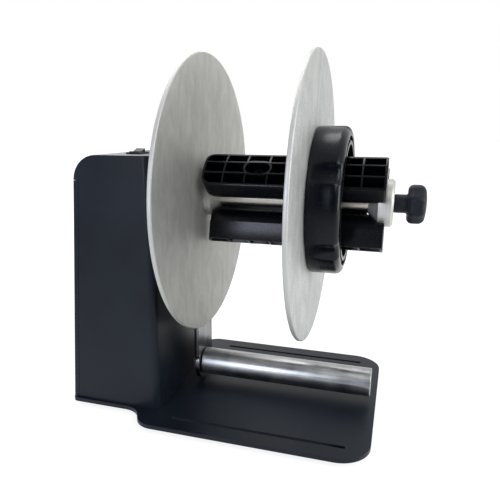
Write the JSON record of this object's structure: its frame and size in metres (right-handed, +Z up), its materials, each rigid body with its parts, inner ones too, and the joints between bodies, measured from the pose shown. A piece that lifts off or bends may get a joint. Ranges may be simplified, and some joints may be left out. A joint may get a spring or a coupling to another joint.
{
  "type": "label rewinder",
  "caption": "Desktop label rewinder: a drive housing turns a flanged, expanding mandrel that winds a label roll, over a base plate with a swinging dancer roller.",
  "frame": {"origin": "middle of the bounding box's footprint, at the height of the table under the feet", "axes": "+Z up, +X along the spindle from the drive housing to the clamping knob, +Y to the rear"},
  "size_m": [0.2444, 0.2, 0.257],
  "materials": {
    "black_powder_coat": "satin black powder coat",
    "brushed_aluminium": "fine circular brushing, clear anodised",
    "turned_aluminium": "turned, clear anodised",
    "polished_steel": "ground and polished",
    "plain_steel": "drawn bar, bare",
    "zinc_steel": "zinc plated",
    "black_oxide_steel": "black oxide",
    "black_nylon": "moulded, fine grain",
    "black_gloss_plastic": "moulded, glossy",
    "black_rubber": "matt",
    "bearing_steel": "ground",
    "acetal": "turned, natural",
    "brass": "bare",
    "gear_steel": "hobbed, oiled",
    "die_cast_zinc": "as cast",
    "board_green": "solder mask"
  },
  "bodies": {
    "chassis": {"base_plate": "black_powder_coat", "rubber_feet": "black_rubber", "foot_screws": "zinc_steel", "housing_shell": "black_powder_coat", "side_cover": "black_powder_coat", "side_cover_screws": "black_oxide_steel", "housing_screws": "black_oxide_steel", "bearing_cartridge": "turned_aluminium", "cartridge_screws": "zinc_steel", "inner_bearing": "bearing_steel", "outer_bearing": "bearing_steel", "arm_retaining_ring": "black_oxide_steel", "gearbox": "die_cast_zinc", "motor": "zinc_steel", "motor_screws": "zinc_steel", "arm_stops": "black_rubber", "control_board": "board_green", "board_standoffs": "brass", "dc_inlet": "black_gloss_plastic", "dc_inlet_nut": "zinc_steel", "speed_control": "black_nylon", "speed_nut": "zinc_steel", "rocker_switch": "black_gloss_plastic"},
    "pinion_drive": {"motor_shaft": "bearing_steel", "pinion": "gear_steel"},
    "spindle": {"spindle_shaft": "polished_steel", "spindle_gear": "gear_steel", "inner_flange": "brushed_aluminium", "inner_hub": "turned_aluminium", "flange_screws": "zinc_steel", "jaw_guide_screws": "zinc_steel"},
    "jaw_1": {"jaw_1": "black_nylon"},
    "jaw_2": {"jaw_2": "black_nylon"},
    "jaw_3": {"jaw_3": "black_nylon"},
    "end_cone": {"end_cone": "turned_aluminium"},
    "knob": {"clamp_screw": "zinc_steel", "clamping_knob": "black_nylon"},
    "outer_flange": {"outer_flange": "brushed_aluminium", "flange_sleeve": "black_nylon", "wheel_retaining_ring": "black_oxide_steel"},
    "hand_wheel": {"hand_wheel": "black_gloss_plastic"},
    "dancer_arm": {"dancer_arm": "plain_steel", "arm_bush": "acetal", "roller_axle": "zinc_steel", "axle_clip": "black_oxide_steel", "axle_nut": "zinc_steel"},
    "roller": {"roller_tube": "polished_steel", "roller_bushes": "acetal"},
    "rocker": {"switch_rocker": "black_gloss_plastic"},
    "speed_dial": {"speed_shaft": "bearing_steel", "speed_knob": "black_nylon"}
  },
  "joints": [
    {"name": "spindle_spin", "type": "hinge", "parent": "chassis", "child": "spindle", "pos_m": [-0.03175, 0, 0.157], "axis": [1, 0, 0], "continuous": true},
    {"name": "pinion_spin", "type": "hinge", "parent": "chassis", "child": "pinion_drive", "pos_m": [-0.08775, 0, 0.118], "axis": [1, 0, 0], "continuous": true},
    {"name": "cone_slide", "type": "slide", "parent": "spindle", "child": "end_cone", "axis": [1, 0, 0], "range_m": [-0.00819, 0.00099]},
    {"name": "knob_turn", "type": "hinge", "parent": "end_cone", "child": "knob", "pos_m": [0.11525, 0, 0.157], "axis": [-1, 0, 0], "range_deg": [-291, 2406]},
    {"name": "jaw_1_slide", "type": "slide", "parent": "spindle", "child": "jaw_1", "axis": [-0.7071, -0.5138, 0.4858], "range_m": [-0.00073, 0.0059]},
    {"name": "jaw_2_slide", "type": "slide", "parent": "spindle", "child": "jaw_2", "axis": [-0.7071, 0.6776, 0.202], "range_m": [-0.00073, 0.0059]},
    {"name": "jaw_3_slide", "type": "slide", "parent": "spindle", "child": "jaw_3", "axis": [-0.7071, -0.1639, -0.6879], "range_m": [-0.00073, 0.0059]},
    {"name": "flange_slide", "type": "slide", "parent": "spindle", "child": "outer_flange", "axis": [1, 0, 0], "range_m": [-0.05, 0.022]},
    {"name": "wheel_turn", "type": "hinge", "parent": "outer_flange", "child": "hand_wheel", "pos_m": [0.05775, 0, 0.157], "axis": [1, 0, 0], "range_deg": [-30, 30]},
    {"name": "arm_swing", "type": "hinge", "parent": "chassis", "child": "dancer_arm", "pos_m": [-0.03865, 0, 0.157], "axis": [1, 0, 0], "range_deg": [-35, 35]},
    {"name": "roller_spin", "type": "hinge", "parent": "dancer_arm", "child": "roller", "pos_m": [0.02925, 0, 0.0223], "axis": [1, 0, 0], "continuous": true},
    {"name": "rocker_tilt", "type": "hinge", "parent": "chassis", "child": "rocker", "pos_m": [-0.07275, -0.034, 0.1889], "axis": [-1, 0, 0], "range_deg": [0, 18]},
    {"name": "speed_turn", "type": "hinge", "parent": "chassis", "child": "speed_dial", "pos_m": [-0.08375, 0.066, 0.061], "axis": [0, 1, 0], "range_deg": [-150, 150]}
  ],
  "couplings": [
    {"joint": "pinion_spin", "follows": "spindle_spin", "ratio": -2.25},
    {"joint": "knob_turn", "follows": "cone_slide", "rad_per_m": -5026.5},
    {"joint": "jaw_1_slide", "follows": "cone_slide", "ratio": -0.70711},
    {"joint": "jaw_2_slide", "follows": "cone_slide", "ratio": -0.70711},
    {"joint": "jaw_3_slide", "follows": "cone_slide", "ratio": -0.70711}
  ]
}
